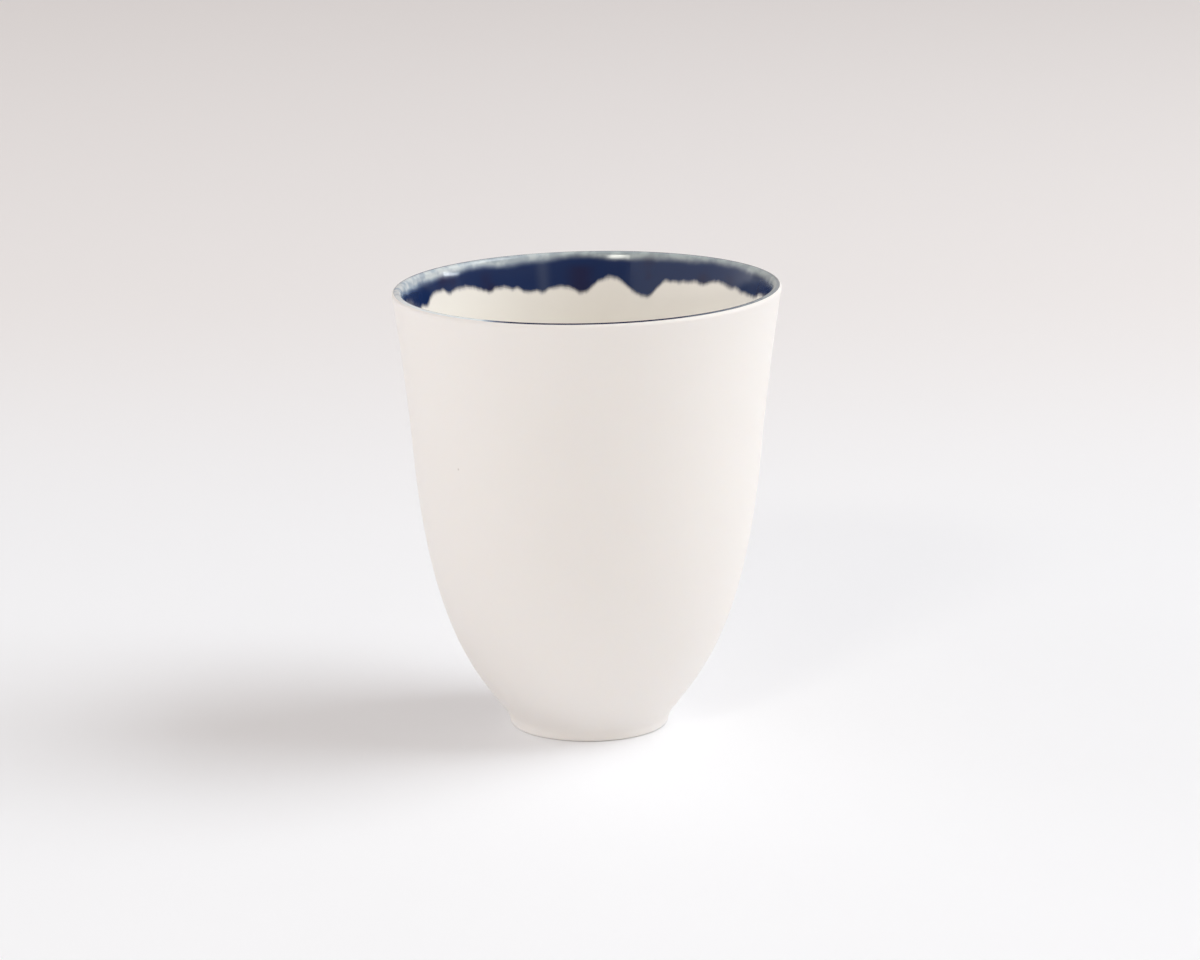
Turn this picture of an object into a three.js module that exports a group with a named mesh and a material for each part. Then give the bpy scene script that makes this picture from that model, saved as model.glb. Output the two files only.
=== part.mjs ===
// A porcelain beaker: a thin matt shell that opens in one soft curve from a small turned foot to a slightly
// flared lip. The inside is lined with clear glaze, and a cobalt glaze laid on the lip has run a little way
// down the inner wall in uneven tongues.
// Millimetres, +Z up. The origin is the middle of the foot's resting plane. The lip is not quite level: it
// stands highest on the +X side.
import * as THREE from "three";

const { degToRad, smoothstep } = THREE.MathUtils;

// Outside of the porcelain
const HEIGHT = 92.5; // table to the crest of the lip, on the axis
const RIM_RADIUS = 40; // widest radius, at the outer edge of the lip
const RIM_RISE = 0.6; // how much higher the lip stands at +X than on the axis
const LIP_LEAN = degToRad(12); // lean of the wall just under the lip, from upright
const LIP_PULL = 4; // length of wall over which that flare is felt
const WAIST_HEIGHT = 60; // where the wall stands most nearly upright
const WAIST_RADIUS = 36.1;
const WAIST_LEAN = degToRad(4.6);
const WAIST_PULL_UP = 10; // how far the waist's direction holds, up and down the wall
const WAIST_PULL_DOWN = 40;
const BELLY_LEAN = degToRad(36); // lean of the wall where it leaves the foot
const BELLY_PULL = 10;

// Foot
const FOOT_RADIUS = 16.4;
const FOOT_HEIGHT = 2;
const FOOT_SPREAD = 0.3; // the foot's side leans out by this much over its height
const FOOT_EDGE = 0.5; // rounding where the side meets the table
const NECK_FILLET = 1.3; // length of each side of the soft corner between foot and belly
const RING_WIDTH = 2.6; // flat ring that stands on the table, with its outer rounding
const RECESS_DEPTH = 1; // shallow hollow under the foot
const RECESS_SLOPE = 1.2;

// Thickness of the porcelain and of the glazes on it
const LIP_THICKNESS = 1.8;
const WALL = 2.3; // at the waist
const FLOOR = 4; // over the hollow of the foot
const FLOOR_PULL = 22; // how far the floor stays level before it turns up into the wall
const GLAZE = 0.3;
const BARE_LIP = degToRad(55); // part of the lip's round, from its outer side up, that the glaze leaves bare

// Cobalt band: depth of its even part below the lip, and the tongues where it ran further. Each tongue has
// its angle round the rim from +X, its length below the even part, and half its width as an angle.
const BAND_DEPTH = 5;
const TONGUES = [
  { at: 14, length: 0.4, half: 5 },
  { at: 25, length: 0.9, half: 7 },
  { at: 50, length: 0.5, half: 5 },
  { at: 71, length: 3.7, half: 8 },
  { at: 92, length: 3, half: 6 },
  { at: 106, length: 2.5, half: 9 },
  { at: 124, length: 1.6, half: 6 },
  { at: 141, length: 0.6, half: 5 },
  { at: 163, length: 1.8, half: 10 },
  { at: 187, length: 0.8, half: 6 },
  { at: 204, length: 2.4, half: 8 },
  { at: 226, length: 1.2, half: 9 },
  { at: 247, length: 3.1, half: 7 },
  { at: 263, length: 1.7, half: 6 },
  { at: 288, length: 2.7, half: 9 },
  { at: 311, length: 1, half: 7 },
  { at: 333, length: 2, half: 8 },
];

// Facets: steps round the axis and along each stretch of the section
const SEGMENTS = 90;
const FINE_STEPS = 2; // each small rounding
const BELLY_STEPS = 9;
const UPPER_STEPS = 5;
const CREST_STEPS = 4;
const BAND_STEPS = 2;
const LINING_STEPS = 12;

const point = (r, z) => new THREE.Vector2(r, z);
// Unit direction in the section that leans out from upright
const leaning = (lean) => point(Math.sin(lean), Math.cos(lean));
const shifted = (from, direction, distance) => from.clone().addScaledVector(direction, distance);

// Key points of the section
const neck = point(FOOT_RADIUS + FOOT_SPREAD, FOOT_HEIGHT);
const footSide = point(FOOT_SPREAD, FOOT_HEIGHT).normalize();
const neckTop = shifted(neck, leaning(BELLY_LEAN), NECK_FILLET);
const neckFoot = shifted(neck, footSide, -NECK_FILLET);
const waist = point(WAIST_RADIUS, WAIST_HEIGHT);
const waistInside = shifted(waist, leaning(WAIST_LEAN - Math.PI / 2), WALL);
const lipRound = LIP_THICKNESS / 2;
const lipCentre = point(RIM_RADIUS - lipRound, HEIGHT - lipRound);
const onLip = (turn) => shifted(lipCentre, point(Math.cos(turn), Math.sin(turn)), lipRound);
const lipOuter = onLip(-LIP_LEAN);
const lipInner = onLip(Math.PI - LIP_LEAN);
const floorMiddle = point(0, RECESS_DEPTH + FLOOR);

// A wall curve between two places, each with the direction that the wall has there and how far it holds
function wall(from, fromDirection, fromPull, to, toDirection, toPull) {
  const first = shifted(from, fromDirection, fromPull);
  const second = shifted(to, toDirection, -toPull);
  return new THREE.CubicBezierCurve(from, first, second, to);
}

function lipArc(start, end) {
  return new THREE.EllipseCurve(lipCentre.x, lipCentre.y, lipRound, lipRound, start, end);
}

// Outline of the bare porcelain: from the middle of the underside, round the foot and up to the glaze's edge
function outsidePoints() {
  const ring = FOOT_RADIUS - RING_WIDTH;
  const edgeStart = point(FOOT_RADIUS - FOOT_EDGE, 0);
  const edgeEnd = shifted(point(FOOT_RADIUS, 0), footSide, FOOT_EDGE);
  const edge = new THREE.QuadraticBezierCurve(edgeStart, point(FOOT_RADIUS, 0), edgeEnd);
  const fillet = new THREE.QuadraticBezierCurve(neckFoot, neck, neckTop);
  const belly = wall(neckTop, leaning(BELLY_LEAN), BELLY_PULL, waist, leaning(WAIST_LEAN), WAIST_PULL_DOWN);
  const upper = wall(waist, leaning(WAIST_LEAN), WAIST_PULL_UP, lipOuter, leaning(LIP_LEAN), LIP_PULL);
  return [
    point(0, RECESS_DEPTH),
    point(ring - RECESS_SLOPE, RECESS_DEPTH),
    point(ring, 0),
    ...edge.getPoints(FINE_STEPS),
    ...fillet.getPoints(FINE_STEPS),
    ...belly.getPoints(BELLY_STEPS).slice(1),
    ...upper.getPoints(UPPER_STEPS).slice(1),
    ...lipArc(-LIP_LEAN, BARE_LIP).getPoints(FINE_STEPS).slice(1, -1),
  ];
}

// Glazed face of the porcelain: over the lip, down the inner wall and in to the middle of the floor
const glazedFace = new THREE.CurvePath();
const down = (lean) => leaning(lean).negate();
glazedFace.add(lipArc(BARE_LIP, Math.PI - LIP_LEAN));
glazedFace.add(wall(lipInner, down(LIP_LEAN), LIP_PULL, waistInside, down(WAIST_LEAN), WAIST_PULL_UP));
glazedFace.add(wall(waistInside, down(WAIST_LEAN), WAIST_PULL_DOWN, floorMiddle, point(-1, 0), FLOOR_PULL));
const faceLength = glazedFace.getLength();
const crestLength = glazedFace.curves[0].getLength();

// How far below the lip the cobalt reaches at an angle, given in degrees
function bandDepth(angle) {
  return TONGUES.reduce((depth, tongue) => {
    const away = Math.abs(THREE.MathUtils.euclideanModulo(angle - tongue.at + 180, 360) - 180);
    return depth + tongue.length * (1 - smoothstep(away, 0, tongue.half));
  }, BAND_DEPTH);
}

// Evenly spread distances, without the first
const spread = (from, to, steps) =>
  Array.from({ length: steps }, (_, i) => THREE.MathUtils.lerp(from, to, (i + 1) / steps));

// Rows across the glazed face at one angle. One row follows the cobalt's lower edge, where both glazes end.
const EDGE_ROW = CREST_STEPS + BAND_STEPS;
function faceRows(angle) {
  const edge = crestLength + bandDepth(angle);
  const distances = [
    0,
    ...spread(0, crestLength, CREST_STEPS),
    ...spread(crestLength, edge, BAND_STEPS),
    ...spread(edge, faceLength, LINING_STEPS),
  ];
  return distances.map((distance) => {
    const along = glazedFace.getTangent(distance / faceLength);
    const seat = glazedFace.getPoint(distance / faceLength);
    // The glaze thins to nothing where it ends on the lip
    const thickness = GLAZE * smoothstep(distance, 0, crestLength);
    const top = shifted(seat, point(along.y, -along.x), thickness);
    top.x = Math.max(top.x, 0);
    return { seat, top };
  });
}

const angles = Array.from({ length: SEGMENTS }, (_, i) => (i * 360) / SEGMENTS);
const rowsByAngle = angles.map(faceRows);
const seats = (rows) => rows.map((row) => row.seat);
const tops = (rows) => rows.map((row) => row.top);

// Place of a section point at an angle. The tilt of the lip grows with height, so the foot stays flat.
function placed(spot, angle) {
  const x = spot.x * Math.cos(degToRad(angle));
  const y = spot.x * Math.sin(degToRad(angle));
  const rise = RIM_RISE * (x / RIM_RADIUS) * (spot.y / HEIGHT);
  return new THREE.Vector3(x, y, spot.y + rise);
}

// Solid turned round the axis from one section per angle. A section runs counter-clockwise, either from the
// axis to the axis or closed on itself.
function turned(sections) {
  const rows = sections[0].length;
  const onAxis = sections[0].map((spot) => spot.x === 0);
  const places = sections.flatMap((section, i) => section.map((spot) => placed(spot, angles[i])));
  const gap = (from, to) => places[from].distanceTo(places[to]);
  const faces = [];
  for (let i = 0; i < SEGMENTS; i++) {
    for (let j = 0; j < rows; j++) {
      const next = (j + 1) % rows;
      const a = i * rows + j;
      const d = i * rows + next;
      const b = ((i + 1) % SEGMENTS) * rows + j;
      const c = ((i + 1) % SEGMENTS) * rows + next;
      if (onAxis[j] && onAxis[next]) continue;
      if (onAxis[j]) faces.push(a, c, d);
      else if (onAxis[next]) faces.push(a, b, d);
      // The shorter diagonal, so that two pieces that meet here fold their faces alike
      else if (gap(a, c) < gap(b, d)) faces.push(a, b, c, a, c, d);
      else faces.push(a, b, d, b, c, d);
    }
  }
  const geometry = new THREE.BufferGeometry().setFromPoints(places).setIndex(faces);
  geometry.computeVertexNormals();
  return geometry;
}

function piece(name, sections, look) {
  const mesh = new THREE.Mesh(turned(sections), new THREE.MeshStandardMaterial({ metalness: 0, ...look }));
  mesh.name = name;
  return mesh;
}

const outside = outsidePoints();
const bodySections = rowsByAngle.map((rows) => [...outside, ...seats(rows)]);
const liningSections = rowsByAngle.map((rows) => {
  const lining = rows.slice(EDGE_ROW);
  return [...seats(lining).reverse(), ...tops(lining)];
});
const bandSections = rowsByAngle.map((rows) => {
  const band = rows.slice(0, EDGE_ROW + 1);
  return [...seats(band).reverse(), ...tops(band).slice(1)];
});

const beaker = new THREE.Group();
beaker.add(piece("porcelain_body", bodySections, { color: 0xf0ebe5, roughness: 0.7 }));
beaker.add(piece("clear_glaze_lining", liningSections, { color: 0xe6dfd0, roughness: 0.15 }));
beaker.add(piece("cobalt_rim_glaze", bandSections, { color: 0x1c2c54, roughness: 0.12 }));

export default beaker;
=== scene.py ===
# %% [markdown]
# # A porcelain beaker with a cobalt rim
# The real object is a thin drinking cup without a handle. It is matt outside and glazed inside, and a cobalt
# glaze laid on its lip ran a little way down the inner wall in the kiln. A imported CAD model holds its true
# sizes. This lesson loads that model as a fixed frame and dresses it: finer meshes, fired surfaces, a plain
# studio and a camera.

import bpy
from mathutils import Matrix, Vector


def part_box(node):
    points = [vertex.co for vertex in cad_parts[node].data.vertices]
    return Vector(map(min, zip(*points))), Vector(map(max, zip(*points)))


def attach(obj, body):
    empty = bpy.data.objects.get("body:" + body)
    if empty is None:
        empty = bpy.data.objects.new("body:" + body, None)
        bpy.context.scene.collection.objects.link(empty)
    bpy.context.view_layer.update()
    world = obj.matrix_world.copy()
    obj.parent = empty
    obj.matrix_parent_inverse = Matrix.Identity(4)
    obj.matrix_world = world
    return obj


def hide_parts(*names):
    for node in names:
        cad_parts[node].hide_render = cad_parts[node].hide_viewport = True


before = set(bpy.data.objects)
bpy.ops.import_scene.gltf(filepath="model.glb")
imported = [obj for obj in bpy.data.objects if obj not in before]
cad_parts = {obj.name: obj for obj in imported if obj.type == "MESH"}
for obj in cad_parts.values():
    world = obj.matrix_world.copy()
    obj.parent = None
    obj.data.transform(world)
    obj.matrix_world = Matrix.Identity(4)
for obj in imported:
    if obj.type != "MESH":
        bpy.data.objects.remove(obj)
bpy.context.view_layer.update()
print("pieces in the frame:", sorted(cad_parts))

# %% Modules and units
import math

import bmesh
import bpy
import numpy as np
from mathutils import Matrix, Vector
from mathutils.geometry import interpolate_bezier

MM = 0.001  # Blender works in metres here

# %% [markdown]
# ## The section of the cup
# A cup that is turned or cast has one section, swept round its axis. A Screw modifier or a spin could sweep
# it, but the three layers of this cup share faces, and the cobalt ends at a different height all round. So
# the section is worked out in numbers first, and each layer takes its own rows from it. The overall radius
# and height are read from the frame, so that the fine mesh stays inside the CAD model.

# %% Sizes of the porcelain
body_low, body_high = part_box("porcelain_body")
rim_rise = 0.6 * MM  # the lip stands this much higher at +X than on the axis
rim_radius = min(body_high.x, body_high.y)
height = body_high.z - rim_rise

lip_thickness = 1.8 * MM
lip_lean = math.radians(12)  # from upright, just under the lip
lip_pull = 4 * MM  # how far along the wall that flare is felt
inner_lean = math.radians(15)  # the same two on the inside, where the wall thins towards the lip
inner_pull = 11 * MM
waist_height = 60 * MM  # where the wall stands most nearly upright
waist_radius = 36.1 * MM
waist_lean = math.radians(4.6)
waist_pull_up = 10 * MM
waist_pull_down = 40 * MM
belly_lean = math.radians(36)
belly_pull = 10 * MM
print(f"rim radius {rim_radius / MM:.2f} mm, height on the axis {height / MM:.2f} mm")

# %% Sizes of the foot and of the inside
foot_radius = 16.4 * MM
foot_height = 2 * MM
foot_spread = 0.3 * MM  # the foot's side leans out by this much
foot_edge = 0.5 * MM  # rounding on the table
neck_fillet = 1.3 * MM  # soft corner between foot and belly
ring_width = 2.6 * MM
ring_edge = 0.4 * MM
recess_depth = 1 * MM
recess_slope = 1.2 * MM
recess_edge = 0.8 * MM

wall_thickness = 2.3 * MM
floor_thickness = 4 * MM
floor_pull = 22 * MM  # how far the floor stays level before it turns up
glaze = 0.3 * MM
bare_lip = math.radians(55)  # part of the lip's round that no glaze covers
print(f"foot {2 * foot_radius / MM:.1f} mm across")
print(f"wall {wall_thickness / MM:.1f} mm, glaze {glaze / MM:.1f} mm")


# %% Points, directions and curves in the section
def spot(r, z):
    return np.array([r, z])


def leaning(lean):
    """Unit direction that leans out from upright."""
    return spot(math.sin(lean), math.cos(lean))


def wall_curve(start, start_handle, end_handle, end, steps):
    """Points along one Bezier curve, which Blender's own function works out."""
    handles = [Vector((*p, 0)) for p in (start, start_handle, end_handle, end)]
    return np.array(interpolate_bezier(*handles, steps + 1))[:, :2]


def softened(before, corner, after, size, steps=6):
    """Points of a rounded corner that starts and ends the given distance from it."""
    def towards(end):
        return corner + (end - corner) * size / np.linalg.norm(end - corner)
    first, last = towards(before), towards(after)
    t = np.linspace(0, 1, steps + 1)[:, None]
    return (1 - t) ** 2 * first + 2 * t * (1 - t) * corner + t**2 * last


def evened(points, longest):
    """The same outline with points added, so that no step is longer than the given length."""
    rows = [points[:1]]
    for a, b in zip(points[:-1], points[1:]):
        count = max(1, math.ceil(np.linalg.norm(b - a) / longest))
        rows.append(a + (b - a) * np.linspace(0, 1, count + 1)[1:, None])
    return np.vstack(rows)


# %% Outside of the porcelain
lip_round = lip_thickness / 2
lip_centre = spot(rim_radius - lip_round, height - lip_round)
waist = spot(waist_radius, waist_height)
neck = spot(foot_radius + foot_spread, foot_height)
neck_top = neck + leaning(belly_lean) * neck_fillet


def on_lip(turns):
    """Points on the round of the lip. A turn is measured from outward to upward, in radians."""
    return lip_centre + lip_round * np.stack([np.cos(turns), np.sin(turns)], axis=-1)


ring_radius = foot_radius - ring_width
recess_middle = spot(0, recess_depth)
recess_corner = spot(ring_radius - recess_slope, recess_depth)
ring_corner = spot(ring_radius, 0)
foot_corner = spot(foot_radius, 0)
lip_outside = on_lip(-lip_lean)
belly_start = neck_top + leaning(belly_lean) * belly_pull
belly_end = waist - leaning(waist_lean) * waist_pull_down
upper_start = waist + leaning(waist_lean) * waist_pull_up
upper_end = lip_outside - leaning(lip_lean) * lip_pull
outside = np.vstack([
    [recess_middle],
    softened(recess_middle, recess_corner, ring_corner, recess_edge),
    softened(recess_corner, ring_corner, foot_corner, ring_edge),
    softened(ring_corner, foot_corner, neck, foot_edge),
    softened(foot_corner, neck, neck_top + leaning(belly_lean), neck_fillet, steps=10),
    wall_curve(neck_top, belly_start, belly_end, waist, steps=56)[1:],
    wall_curve(waist, upper_start, upper_end, lip_outside, steps=26)[1:],
    on_lip(np.linspace(-lip_lean, bare_lip, 12))[1:],
])
outside = evened(outside, longest=1.2 * MM)
print("rows on the outside:", len(outside))

# %% Glazed face of the porcelain
waist_inside = waist + leaning(waist_lean - math.pi / 2) * wall_thickness
lip_inside = on_lip(math.pi - inner_lean)
floor_middle = spot(0, recess_depth + floor_thickness)
crest = on_lip(np.linspace(bare_lip, math.pi - inner_lean, 41))
inner_upper = wall_curve(
    lip_inside,
    lip_inside - leaning(inner_lean) * inner_pull,
    waist_inside + leaning(waist_lean) * waist_pull_up,
    waist_inside,
    steps=80,
)
inner_lower = wall_curve(
    waist_inside,
    waist_inside - leaning(waist_lean) * waist_pull_down,
    floor_middle + spot(floor_pull, 0),
    floor_middle,
    steps=160,
)
face = np.vstack([crest, inner_upper[1:], inner_lower[1:]])
travelled = np.concatenate([[0], np.cumsum(np.linalg.norm(np.diff(face, axis=0), axis=1))])
crest_length = travelled[len(crest) - 1]
face_length = travelled[-1]


def along_face(distance):
    """Points on the glazed face at distances from the glaze's edge on the lip."""
    return np.stack([np.interp(distance, travelled, face[:, k]) for k in (0, 1)], axis=-1)


def face_normal(distance):
    """Unit directions out of the glazed face, into the cup."""
    reach = 0.05 * MM
    before = along_face(np.clip(distance - reach, 0, face_length))
    after = along_face(np.clip(distance + reach, 0, face_length))
    step = after - before
    step = step / np.linalg.norm(step, axis=-1, keepdims=True)
    return np.stack([step[..., 1], -step[..., 0]], axis=-1)


print(f"glazed face {face_length / MM:.1f} mm long, of which {crest_length / MM:.2f} mm over the lip")

# %% [markdown]
# ## Where the cobalt ran
# Cobalt melts into the glaze and flows with it, so the band's lower edge hangs in tongues with pale arches
# between them. A picture could be painted for that edge. Here each tongue is a row of four readable numbers,
# and the sum of smooth steps gives the edge at any angle. The geometry and the colours both follow it.

# %% Lower edge of the cobalt
band_depth = 3.8 * MM  # even part, below the end of the lip's round
# Angle of the tip from +X, length below the even part in mm, and the spread before and after the tip, in
# degrees
tongues = [
    (20, 1.2, 7, 6.5),
    (28, 1.15, 8.5, 5.5),
    (36.5, 0.75, 11.5, 5),
    (49.5, 0.75, 11, 3),
    (59, 1.4, 15.5, 22),
    (70, 4.25, 8, 13),
    (91, 1.9, 6.5, 6.5),
    (98.5, 2.75, 28, 36.5),
    (105, 1.25, 4.5, 5),
    (109.5, 1.3, 3, 9),
    (116.5, 0.9, 3, 13.5),
    (125, 1.65, 5, 10),
    (137, 0.75, 9.5, 14),
    (141.5, 0.65, 2.5, 2.5),
    (156.5, 2.1, 8.5, 6.5),
    (162.5, 2, 5.5, 14),
    (183, 0.7, 5, 4),
    (191, 1.5, 5, 7),
    (206, 2.6, 9, 6),
    (219, 0.9, 4, 5),
    (229, 1.6, 6, 9),
    (247, 3.3, 7, 10),
    (263, 1.9, 5, 5),
    (271, 0.8, 3, 3),
    (288, 2.9, 11, 7),
    (303, 0.7, 4, 3),
    (313, 1.4, 6, 8),
    (333, 2.2, 9, 7),
    (347, 0.9, 4, 6),
]
SEGMENTS = 360
around = np.arange(SEGMENTS) * 360 / SEGMENTS


def eased(t):
    """Smooth step from 0 to 1."""
    t = np.clip(t, 0, 1)
    return t * t * (3 - 2 * t)


def cobalt_reach(angle):
    """How far below the lip's round the cobalt reaches at angles in degrees."""
    reach = np.full(np.shape(angle), band_depth)
    for at, length, before, after in tongues:
        turn = (angle - at + 180) % 360 - 180
        spread = np.where(turn < 0, before, after)
        reach = reach + length * MM * (1 - eased(np.abs(turn) / spread))
    return reach


edge = crest_length + cobalt_reach(around)
least, most = (edge.min() - crest_length) / MM, (edge.max() - crest_length) / MM
print(f"cobalt reaches {least:.1f} to {most:.1f} mm down")

# %% [markdown]
# ## Where the cobalt stays thin
# Molten glaze pulls back from a lip, so it is thin and grey there and turns deep blue further down. Some
# stretches are nearly bare, some runs stay thin, and others are so thick that their foot turned violet. The
# outermost line on the lip is dark again where the brush left most. These five things change round the rim. A
# painted picture could hold them, but a short list of angles and values for each is easier to read and to
# change. Blender's shaders read them as values on the vertices.

# %% Thin and dark places of the cobalt
# Angle from +X, and the distance over the lip at which the pale glaze has half turned blue, in mm
pale_ends = [
    (0, 2.2), (24, 2.1), (34, 1.8), (47, 1.9), (62, 2.1), (74, 2.3), (86, 2.2), (98, 1.9), (107, 2.5),
    (117, 3.0), (124, 2.6), (131, 2.3), (137, 3.0), (144, 2.8), (152, 3.0), (170, 3.0), (215, 2.4),
    (290, 2.1),
]
# Angle from +X, and how dark the outermost line is, from 0 to 1
lip_lines = [
    (0, 0.2), (30, 0.3), (60, 0.75), (80, 0.6), (95, 0.3), (103, 0.1), (112, 0.15), (120, 0.5), (148, 0.55),
    (160, 0.1), (165, 0), (238, 0), (248, 0.8), (288, 0.9), (304, 0.6), (320, 0.3), (340, 0.15),
]
# Angle from +X, and how nearly the pale part is bare of cobalt, from 0 to 1
bare_parts = [(0, 0), (92, 0), (105, 0.3), (130, 0.35), (150, 0.5), (175, 0.7), (200, 1), (238, 1), (248, 0)]
# Angle from +X, half the width in degrees and the share of pale colour in a thin run
thin_runs = [(24, 14, 0.045), (104.5, 3.5, 0.05), (223, 6, 0.08), (301, 5, 0.06)]
# The same for runs so thick that their foot turned violet
thick_runs = [(36, 4, 0.4), (92, 7, 0.7), (125, 4, 0.4), (206, 5, 0.7), (288, 6, 0.8)]
line_width = 0.5 * MM  # the outermost line on the lip, and how far it takes to fade
line_fade = 0.4 * MM
violet_start = 3 * MM  # distance over the lip at which a thick run turns violet, and how far that takes
violet_fade = 2 * MM


def round_rim(pairs):
    """Values at every angle, drawn evenly between the listed ones."""
    return np.interp(around, *zip(*pairs), period=360)


def in_runs(runs):
    """Shares at every angle, summed over the listed runs."""
    total = np.zeros(SEGMENTS)
    for at, half, share in runs:
        total = total + share * (1 - eased(np.abs((around - at + 180) % 360 - 180) / half))
    return total


def stain_values(distance):
    """What the glaze colours need to know, at distances over the glazed face given as (angle, row)."""
    line = 1 - eased((distance - line_width) / line_fade)
    foot = eased((distance - violet_start) / violet_fade)
    return {
        "past_edge": (distance - edge[:, None]) / MM,
        "past_pale": distance / MM - round_rim(pale_ends)[:, None],
        "lip_line": line * round_rim(lip_lines)[:, None],
        "thin_run": in_runs(thin_runs)[:, None] * np.ones_like(distance),
        "thick_run": in_runs(thick_runs)[:, None] * foot,
        "bare_part": round_rim(bare_parts)[:, None] * np.ones_like(distance),
    }


print("values for the stain:", sorted(stain_values(edge[:, None])))

# %% [markdown]
# ## Turning sections into meshes
# One helper places a grid of section rows round the axis and joins it into quads. It also tilts the lip: the
# tilt grows with height, so the foot stays flat on the table. The values for the stain ride along on the
# vertices. A flat map goes with them. It folds the ring into strips, so that a square picture of the surface
# has fine detail both ways.

# %% Helper that turns a section
MAP_NAME = "OFBake"


def placed(section):
    """Vertices of the rows round the axis, as (angle, row, 3)."""
    turn = np.radians(around)[:, None]
    x = section[..., 0] * np.cos(turn)
    y = section[..., 0] * np.sin(turn)
    rise = rim_rise * (x / rim_radius) * (section[..., 1] / height)
    return np.stack([x, y, section[..., 1] + rise], axis=-1)


def add_map(mesh, corners, shares, strips):
    """A flat map of the turned surface, cut into strips that lie one above the other."""
    columns, rows = corners
    per_strip = SEGMENTS // strips
    strip = columns[:, :1] // per_strip
    u = (columns - strip * per_strip) / per_strip
    v = (strip + 0.02 + 0.96 * shares[rows]) / strips
    flat_map = mesh.uv_layers.new(name=MAP_NAME)
    flat_map.data.foreach_set("uv", np.stack([u, v], axis=-1).astype(np.float32).ravel())


def turned(name, section, values=None, closed=False, strips=1):
    """A mesh object from one section per angle. A section runs from axis to axis, or closes on itself."""
    rows = section.shape[1]
    steps = rows if closed else rows - 1
    column = np.repeat(np.arange(SEGMENTS), steps)
    row = np.tile(np.arange(steps), SEGMENTS)
    columns = np.stack([column, column + 1, column + 1, column], axis=-1)
    rows_of = np.stack([row, row, row + 1, row + 1], axis=-1)
    quads = (columns % SEGMENTS) * rows + rows_of % rows
    mesh = bpy.data.meshes.new(name)
    mesh.from_pydata(placed(section).reshape(-1, 3).tolist(), [], quads.tolist())
    lengths = np.linalg.norm(np.diff(section[0], axis=0, append=section[0][:1]), axis=1)[:steps]
    shares = np.concatenate([[0], np.cumsum(lengths)]) / lengths.sum()
    add_map(mesh, (columns, rows_of), shares, strips)
    for key, value in (values or {}).items():
        layer = mesh.attributes.new(key, "FLOAT", "POINT")
        layer.data.foreach_set("value", value.astype(np.float32).ravel())
    made = bpy.data.objects.new(name, mesh)
    bpy.context.scene.collection.objects.link(made)
    return made


def welded(made):
    """Joins the vertices that meet on the axis, and shades the surface smooth."""
    work = bmesh.new()
    work.from_mesh(made.data)
    bmesh.ops.remove_doubles(work, verts=work.verts, dist=0.0001 * MM)
    work.to_mesh(made.data)
    work.free()
    made.data.shade_smooth()
    print(f"{made.name}: {len(made.data.polygons)} faces")
    return made


# %% [markdown]
# ## The porcelain body
# The body is the one load-bearing piece: a shell about two millimetres thick with a round lip and a turned
# foot. The same rows that make its outside run on over the lip and down the glazed face to the floor, so the
# mesh is closed and has a true thickness.

# %% Porcelain body
hidden_rows = np.linspace(0, 1, 46) ** 1.3 * face_length  # closer together near the lip
section = np.vstack([outside, along_face(hidden_rows)[1:]])
porcelain = welded(turned("porcelain_shell", np.repeat(section[None], SEGMENTS, axis=0)))
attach(porcelain, "root")
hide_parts("porcelain_body")

# %% [markdown]
# ## The two glazes
# Each glaze is a thin layer on that face. It starts from nothing on the lip and builds up over several
# millimetres, and surface tension leaves a faint bead where the cobalt stops. A Solidify modifier could give
# a layer, but only an even one. Both layers take their rows from the same distances, so they meet at the
# uneven edge without a gap.

# %% Thickness of the glaze
shoulder = 3.5 * MM  # length over which most of the glaze builds up, so that it rolls softly over the lip
shoulder_share = 0.65
sag = 8 * MM  # length over which the rest builds up
bead = 0.02 * MM
bead_width = 0.7 * MM


def glaze_top(distance):
    """Free surface of the glaze over the face, at distances given as (angle, row)."""
    early = shoulder_share * eased(distance / shoulder)
    late = (1 - shoulder_share) * eased(distance / sag)
    thickness = glaze * (early + late)
    thickness = thickness + bead * np.exp(-(((distance - edge[:, None]) / bead_width) ** 2))
    top = along_face(distance) + face_normal(distance) * thickness[..., None]
    top[..., 0] = np.maximum(top[..., 0], 0)
    return top


# %% Cobalt band
share = np.linspace(0, 1, 24)
over_lip = np.repeat(share[None] * crest_length, SEGMENTS, axis=0)
down_wall = crest_length + share[1:] * (edge - crest_length)[:, None]
band_rows = np.hstack([over_lip, down_wall])
loop = np.hstack([band_rows[:, ::-1], band_rows[:, 1:]])
band_section = np.hstack([along_face(band_rows)[:, ::-1], glaze_top(band_rows)[:, 1:]])
cobalt = welded(turned(
    "cobalt_band",
    band_section,
    stain_values(loop),
    closed=True,
    strips=8,
))
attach(cobalt, "root")
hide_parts("cobalt_rim_glaze")

# %% Clear lining
share = np.linspace(0, 1, 72) ** 1.5  # closer together near the cobalt
lining_rows = edge[:, None] + share * (face_length - edge)[:, None]
loop = np.hstack([lining_rows[:, ::-1], lining_rows])
lining_section = np.hstack([along_face(lining_rows)[:, ::-1], glaze_top(lining_rows)])
lining = welded(turned(
    "clear_lining",
    lining_section,
    stain_values(loop),
    strips=2,
))
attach(lining, "root")
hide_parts("clear_glaze_lining")

# %% [markdown]
# ## Building materials from nodes
# All finishes here are procedural: nodes work them out from a point's place on the surface. A small helper
# adds a node, sets its inputs and links what is already a socket.


# %% Node helpers
def add_node(tree, kind, inputs=None, **settings):
    node = tree.nodes.new("ShaderNode" + kind)
    for key, value in settings.items():
        setattr(node, key, value)
    for key, value in (inputs or {}).items():
        if isinstance(value, bpy.types.NodeSocket):
            tree.links.new(value, node.inputs[key])
        else:
            node.inputs[key].default_value = value
    return node


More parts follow.
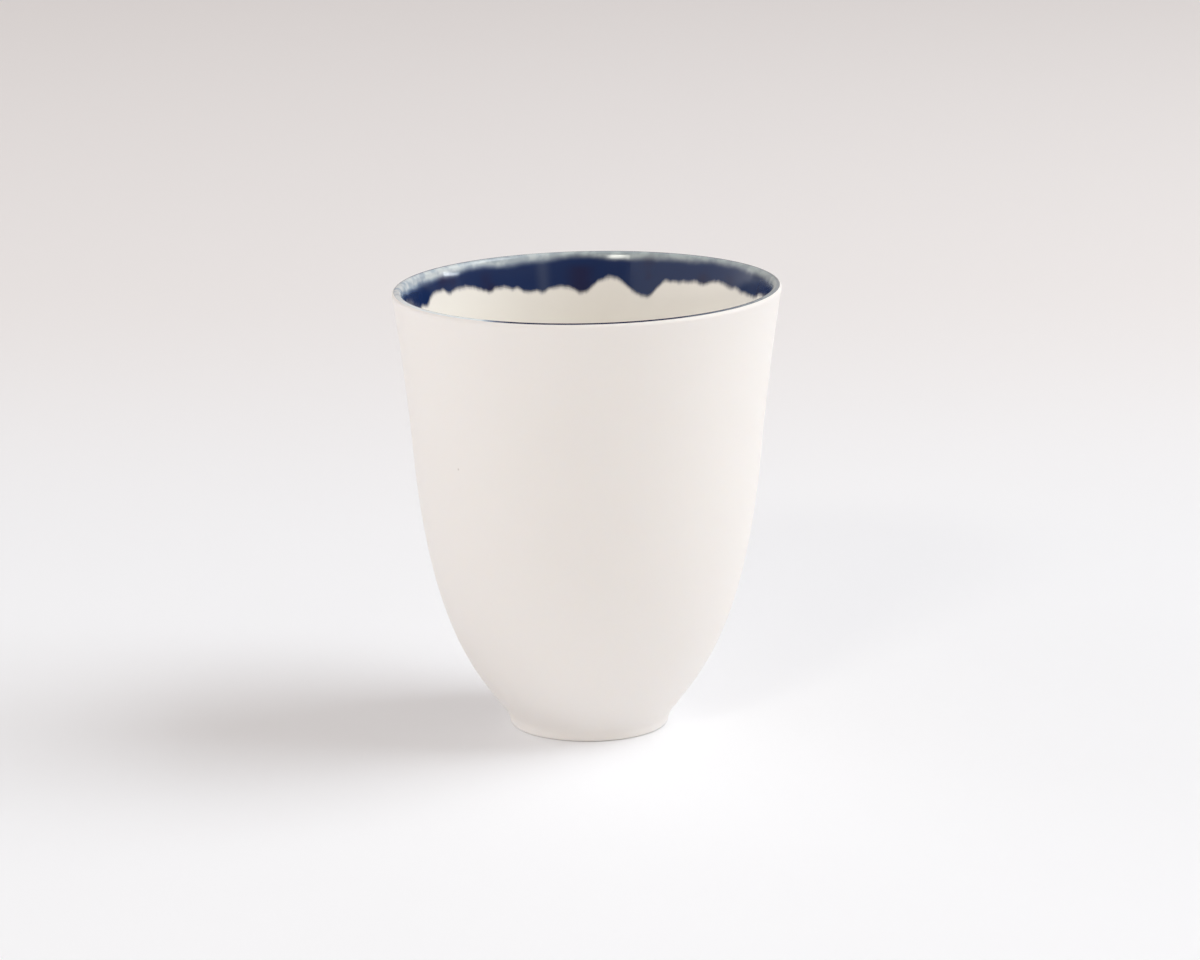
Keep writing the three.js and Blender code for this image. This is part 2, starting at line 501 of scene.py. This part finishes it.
def mixed(tree, share, first, second):
    """Colour that goes from the first to the second."""
    slots = {0: share, 6: first, 7: second}
    return add_node(tree, "Mix", slots, data_type="RGBA").outputs[2]


def calculated(tree, operation, first, second):
    return add_node(tree, "Math", {0: first, 1: second}, operation=operation).outputs[0]


def stepped(tree, value, low, high, start=0.0, end=1.0):
    """Smooth step of a value from start at low to end at high."""
    limits = {"Value": value, "From Min": low, "From Max": high, "To Min": start, "To Max": end}
    return add_node(tree, "MapRange", limits, interpolation_type="SMOOTHSTEP").outputs["Result"]


def noise(tree, place, scale, detail=2.0):
    inputs = {"Vector": place, "Scale": scale, "Detail": detail}
    return add_node(tree, "TexNoise", inputs).outputs[0]


def colour(red, green, blue):
    return (red, green, blue, 1.0)


def new_group(name, inputs, outputs):
    """A shader node group with named sockets. Each is given as name: kind."""
    tree = bpy.data.node_groups.new(name, "ShaderNodeTree")
    for key, kind in inputs.items():
        tree.interface.new_socket(key, in_out="INPUT", socket_type="NodeSocket" + kind)
    for key, kind in outputs.items():
        tree.interface.new_socket(key, in_out="OUTPUT", socket_type="NodeSocket" + kind)
    return tree, tree.nodes.new("NodeGroupInput").outputs, tree.nodes.new("NodeGroupOutput").inputs


def new_material(piece, name):
    """An empty node material on a piece, with its Principled shader."""
    material = bpy.data.materials.new(name)
    material.use_nodes = True
    piece.data.materials.clear()
    piece.data.materials.append(material)
    return material.node_tree, material.node_tree.nodes["Principled BSDF"]


def placed_group(tree, group, inputs):
    return add_node(tree, "Group", inputs, node_tree=group).outputs


# %% [markdown]
# ## What the kiln does to every surface
# No fired surface is perfectly even. Broad clouds shift its tone a little, and a fine grain breaks up its
# sheen. All three finishes need that, at different sizes, so it is one node group with a size for each.

# %% Group: kiln clouds and grain
clouds_group, given, result = new_group(
    "kiln_surface",
    {"Cloud Scale": "Float", "Grain Scale": "Float"},
    {"Clouds": "Float", "Grain": "Float"},
)
place = add_node(clouds_group, "TexCoord").outputs["Object"]
clouds_group.links.new(noise(clouds_group, place, given["Cloud Scale"], 3), result["Clouds"])
clouds_group.links.new(noise(clouds_group, place, given["Grain Scale"], 4), result["Grain"])
print("group:", clouds_group.name)

# %% [markdown]
# ## How cobalt stains the glaze
# The same stain shows in both glazes: it is deep in the band, thin and grey where the glaze breaks over the
# lip, and it feathers out into the clear lining over about a millimetre. So both materials share one group,
# and no seam shows where the two meshes meet. Noise that is stretched up and down the wall gives the flow
# its streaks, and where the glaze pooled its blue turns almost violet. Where the thin glaze is milky, a plain
# mix of pale and deep gives the half-tones. Where it is nearly bare it is clear like coloured glass, which
# swallows light by powers of its thickness, so Gamma nodes give bluer half-tones there.

# %% Group: cobalt stain
stain_group, given, result = new_group(
    "cobalt_stain",
    {
        "Past Edge": "Float",
        "Past Pale": "Float",
        "Lip Line": "Float",
        "Thin Run": "Float",
        "Thick Run": "Float",
        "Bare Part": "Float",
        "Clear": "Color",
        "Cobalt": "Color",
        "Pool": "Color",
        "Thin": "Color",
        "Bare": "Color",
    },
    {"Colour": "Color", "Flow": "Float", "Pale": "Float"},
)
place = add_node(stain_group, "TexCoord").outputs["Object"]
drawn_out = add_node(stain_group, "Mapping", {"Vector": place, "Scale": (1, 1, 0.3)}).outputs[0]


def swing(source, amount):
    """A noise value turned into a shift to both sides, in mm."""
    return calculated(stain_group, "MULTIPLY", calculated(stain_group, "SUBTRACT", source, 0.5), amount)


streaks = noise(stain_group, drawn_out, 500.0, 2)
stain_group.links.new(streaks, result["Flow"])
feathered = calculated(stain_group, "ADD", given["Past Edge"], swing(streaks, 1.4))
stained = stepped(stain_group, feathered, -0.7, 0.8, 1.0, 0.0)

drift = swing(noise(stain_group, place, 180.0, 2), 1.4)
level = calculated(stain_group, "ADD", given["Past Pale"], drift)
mottles = stepped(stain_group, noise(stain_group, place, 380.0, 2), 0.35, 0.6, 0.86, 1.0)
clean = stepped(stain_group, given["Bare Part"], 0.7, 0.95)  # bare stretches have no mottles
mottles = calculated(stain_group, "MAXIMUM", mottles, clean)
pale = stepped(stain_group, level, -0.8, 1.35, 1.0, 0.0)
for less in (mottles, calculated(stain_group, "SUBTRACT", 1.0, given["Lip Line"])):
    pale = calculated(stain_group, "MULTIPLY", pale, less)

stain_group.links.new(pale, result["Pale"])

pools = stepped(stain_group, noise(stain_group, place, 110.0, 2), 0.55, 0.8)
for more in (given["Thick Run"], given["Lip Line"]):
    pools = calculated(stain_group, "MAXIMUM", pools, more)
deep = mixed(stain_group, pools, given["Cobalt"], given["Pool"])
thin = mixed(stain_group, given["Bare Part"], given["Thin"], given["Bare"])


def powered(source, power):
    """A colour raised to a power, as light is that goes through more or less of it."""
    return add_node(stain_group, "Gamma", {"Color": source, "Gamma": power}).outputs[0]


milky = mixed(stain_group, calculated(stain_group, "MULTIPLY", pale, pale), deep, thin)
deepness = calculated(stain_group, "SUBTRACT", 1.0, pale)
layers = {0: 1.0, 6: powered(thin, pale), 7: powered(deep, deepness)}
glassy = add_node(stain_group, "Mix", layers, data_type="RGBA", blend_type="MULTIPLY").outputs[2]
band_colour = mixed(stain_group, given["Bare Part"], milky, glassy)
band_colour = mixed(stain_group, given["Thin Run"], band_colour, thin)
stain_group.links.new(mixed(stain_group, stained, given["Clear"], band_colour), result["Colour"])
print("group:", stain_group.name)

# %% [markdown]
# ## Matt porcelain
# Unglazed porcelain that has been rubbed smooth is nearly white, slightly warm, and has a soft sheen at most.
# Light goes a little way into it, so a touch of subsurface scattering rounds off its shading. Clouds shift
# the tone by a few per cent, and a very fine grain in the bump keeps highlights broad. One pin-prick of iron
# sits in the wall, as it often does.

# %% Material: matt porcelain
iron_place = (-25.99 * MM, -25.07 * MM, 59.92 * MM)
iron_core = 0.1 * MM  # radius of its darkest part
iron_edge = 0.35 * MM
iron_strength = 0.35
tree, shader = new_material(porcelain, "matt_porcelain")
kiln = placed_group(tree, clouds_group, {"Cloud Scale": 28.0, "Grain Scale": 1500.0})
body_white = mixed(tree, kiln["Clouds"], colour(0.86, 0.824, 0.79), colour(0.88, 0.844, 0.81))
place = add_node(tree, "TexCoord").outputs["Object"]
iron_gap = add_node(tree, "VectorMath", {0: place, 1: iron_place}, operation="DISTANCE").outputs["Value"]
iron = stepped(tree, iron_gap, iron_core, iron_edge, iron_strength, 0.0)
tree.links.new(mixed(tree, iron, body_white, colour(0.33, 0.26, 0.2)), shader.inputs["Base Color"])
sheen = add_node(tree, "MapRange", {"Value": kiln["Grain"], "To Min": 0.5, "To Max": 0.68})
tree.links.new(sheen.outputs[0], shader.inputs["Roughness"])
bump = add_node(tree, "Bump", {"Height": kiln["Grain"], "Strength": 0.2, "Distance": 0.03 * MM})
tree.links.new(bump.outputs[0], shader.inputs["Normal"])
shader.inputs["Subsurface Weight"].default_value = 0.15
shader.inputs["Subsurface Radius"].default_value = (1.0, 0.8, 0.6)
shader.inputs["Subsurface Scale"].default_value = 1.0 * MM
shader.inputs["Specular IOR Level"].default_value = 0.35
print("finish:", porcelain.active_material.name)

# %% [markdown]
# ## The two glazes as finishes
# A gloss glaze is a smooth film of glass over the clay, so both finishes are glossy with a slight waviness in
# their reflections. The stain group gives each its colour: all cobalt in the band, and only the feathered
# fringe in the lining. It also says where the lip is pale. There the film breaks smoothly over the edge, so a
# coat adds gloss.

# %% Materials: clear glaze and cobalt glaze
cream = colour(0.945, 0.91, 0.845)
pale_cream = colour(0.955, 0.93, 0.88)
cobalt_blue = colour(0.005, 0.021, 0.09)
cobalt_pool = colour(0.013, 0.011, 0.048)
thin_cobalt = colour(0.44, 0.50, 0.51)
bare_glaze = colour(0.81, 0.855, 0.88)
glaze_roughness = 0.1  # at its smoothest
glaze_mirror = 0.32  # strength of the reflections in both glazes
lip_coat = 0.45  # how much coat the pale lip has


def vertex_value(tree, name):
    return add_node(tree, "Attribute", attribute_name=name).outputs["Fac"]


def glazed(piece, name):
    tree, shader = new_material(piece, name)
    kiln = placed_group(tree, clouds_group, {"Cloud Scale": 60.0, "Grain Scale": 420.0})
    stain = placed_group(tree, stain_group, {
        "Past Edge": vertex_value(tree, "past_edge"),
        "Past Pale": vertex_value(tree, "past_pale"),
        "Lip Line": vertex_value(tree, "lip_line"),
        "Thin Run": vertex_value(tree, "thin_run"),
        "Thick Run": vertex_value(tree, "thick_run"),
        "Bare Part": vertex_value(tree, "bare_part"),
        "Clear": mixed(tree, kiln["Clouds"], cream, pale_cream),
        "Cobalt": cobalt_blue,
        "Pool": cobalt_pool,
        "Thin": thin_cobalt,
        "Bare": bare_glaze,
    })
    tree.links.new(stain["Colour"], shader.inputs["Base Color"])
    gloss = {"Value": kiln["Grain"], "To Min": glaze_roughness, "To Max": 1.8 * glaze_roughness}
    tree.links.new(add_node(tree, "MapRange", gloss).outputs[0], shader.inputs["Roughness"])
    shader.inputs["Specular IOR Level"].default_value = glaze_mirror
    tree.links.new(calculated(tree, "MULTIPLY", stain["Pale"], lip_coat), shader.inputs["Coat Weight"])
    shader.inputs["Coat Roughness"].default_value = glaze_roughness
    wavy = add_node(tree, "Bump", {"Height": kiln["Clouds"], "Strength": 1.0, "Distance": 0.15 * MM})
    flow = {"Height": stain["Flow"], "Strength": 0.5, "Distance": 0.06 * MM, "Normal": wavy.outputs[0]}
    tree.links.new(add_node(tree, "Bump", flow).outputs[0], shader.inputs["Normal"])
    print("finish:", name)


glazed(lining, "clear_glaze")
glazed(cobalt, "cobalt_glaze")

# %% [markdown]
# ## The studio
# The cup stands on a plain white board, large enough to fill the view. Behind the cup its colour turns a
# little warmer and darker, a painted shade on the far board.
# Lamps of many kinds could light it, and their sizes matter more than their number. A large soft lamp on the
# right gives the long shadow its blurred edge, a smaller one below it lights the wall, and a small low one
# draws a short streak on the left of the lip. A wide panel on the left opens the dark side, and a small warm
# lamp near the camera adds a glint on the far lip. The camera itself sees none of them. The room around is
# dim, and lighter at the upper right.

# %% Board
board_half = 6.0
board_drop = 0.02 * MM  # keeps the board's face clear of the foot
board_mesh = bpy.data.meshes.new("board")
sides = [(-1, -1), (1, -1), (1, 1), (-1, 1)]
corners = [(x * board_half, y * board_half, -board_drop) for x, y in sides]
board_mesh.from_pydata(corners, [], [(0, 1, 2, 3)])
board = bpy.data.objects.new("board", board_mesh)
bpy.context.scene.collection.objects.link(board)
tree, shader = new_material(board, "white_board")
place = add_node(tree, "TexCoord").outputs["Object"]
# painted shade: behind the cup the board's colour goes over to a darker, warmer white
far_shade_mask = stepped(tree, add_node(tree, "SeparateXYZ", {0: place}).outputs["Y"], 0.1, 0.5)
clouds = noise(tree, place, 8.0, 3)
cool_white = mixed(tree, clouds, colour(0.895, 0.905, 0.93), colour(0.915, 0.925, 0.95))
# the darker, warmer white of the painted shade on the far board
shaded_far_white = colour(0.865, 0.84, 0.838)
tree.links.new(mixed(tree, far_shade_mask, cool_white, shaded_far_white), shader.inputs["Base Color"])
shader.inputs["Roughness"].default_value = 0.8
print("board:", 2 * board_half, "m square")

# %% Lamps
middle = Vector((0, 0, height / 2))


def from_cup(side, rise, distance):
    """A place seen from the cup. The side is an angle in degrees from the camera's side, to the right."""
    side, rise = math.radians(side), math.radians(rise)
    away = Vector((math.sin(side) * math.cos(rise), -math.cos(side) * math.cos(rise), math.sin(rise)))
    return middle + distance * away


def softbox(name, place, aim, width, depth, power, tint):
    lamp = bpy.data.lights.new(name, "AREA")
    lamp.shape = "RECTANGLE"
    lamp.size = width
    lamp.size_y = depth
    lamp.energy = power
    lamp.color = tint
    made = bpy.data.objects.new(name, lamp)
    made.visible_camera = False
    bpy.context.scene.collection.objects.link(made)
    away = place - aim
    made.matrix_world = Matrix.Translation(place) @ away.to_track_quat("Z", "Y").to_matrix().to_4x4()
    print(f"lamp {name}: {power} W, {width} by {depth} m")


softbox("key", from_cup(94, 50, 2.0), middle, 1.4, 1.15, 18.6, (0.91, 0.965, 1))
softbox("side", from_cup(88, 28, 2.0), middle, 0.9, 0.5, 3.5, (0.87, 0.945, 1))
softbox("low_key", from_cup(99, 16.5, 1.3), middle, 0.3, 0.06, 0.8, (0.9, 0.96, 1))
softbox("glint", from_cup(-22, 33, 1.3), middle, 0.25, 0.13, 1.8, (1, 0.98, 0.88))
panel = Vector((-1.65, -0.8, 0.9))
softbox("left_panel", panel, panel + Vector((1, 0, 0)), 4.4, 1.7, 23.0, (0.95, 0.97, 1))

# %% Sky
world = bpy.data.worlds.new("studio")
bpy.context.scene.world = world
world.use_nodes = True
tree = world.node_tree
way = add_node(tree, "TexCoord").outputs["Generated"]
along = add_node(tree, "SeparateXYZ", {0: way}).outputs
to_right = stepped(tree, along["X"], 0.0, 0.8)
upward = stepped(tree, along["Z"], 0.15, 0.45)
upper_right = calculated(tree, "MULTIPLY", to_right, upward)
room_light = mixed(tree, upper_right, colour(0.39, 0.35, 0.33), colour(0.95, 0.90, 0.86))
room = tree.nodes["Background"]
tree.links.new(room_light, room.inputs["Color"])
backdrop = add_node(tree, "Background", {"Color": colour(0.80, 0.78, 0.78), "Strength": 1.0})
seen = add_node(tree, "LightPath").outputs["Is Camera Ray"]
shown = add_node(tree, "MixShader", {0: seen, 1: room.outputs[0], 2: backdrop.outputs[0]})
tree.links.new(shown.outputs[0], tree.nodes["World Output"].inputs["Surface"])
print("world:", world.name)

# %% [markdown]
# ## The camera
# It looks down on the cup from the front, from a little over nine tenths of a metre. A short lens close by
# would make the foot look far too small, so a long lens stands further off.

# %% Camera
lens = bpy.data.cameras.new("camera")
lens.sensor_fit = "HORIZONTAL"
lens.sensor_width = 36
lens.lens = 131.8
camera = bpy.data.objects.new("camera", lens)
bpy.context.scene.collection.objects.link(camera)
bpy.context.scene.camera = camera
look_down = 0.2341  # radians, as are the next two
look_aside = 0.0024
roll = -0.0058
stand = Matrix.Translation((0.0004, -0.8845, 0.2625))
pan = Matrix.Rotation(-look_aside, 4, "Z")
tilt = Matrix.Rotation(math.pi / 2 - look_down, 4, "X")
camera.matrix_world = stand @ pan @ tilt @ Matrix.Rotation(roll, 4, "Z")
bpy.context.scene.view_settings.view_transform = "Standard"
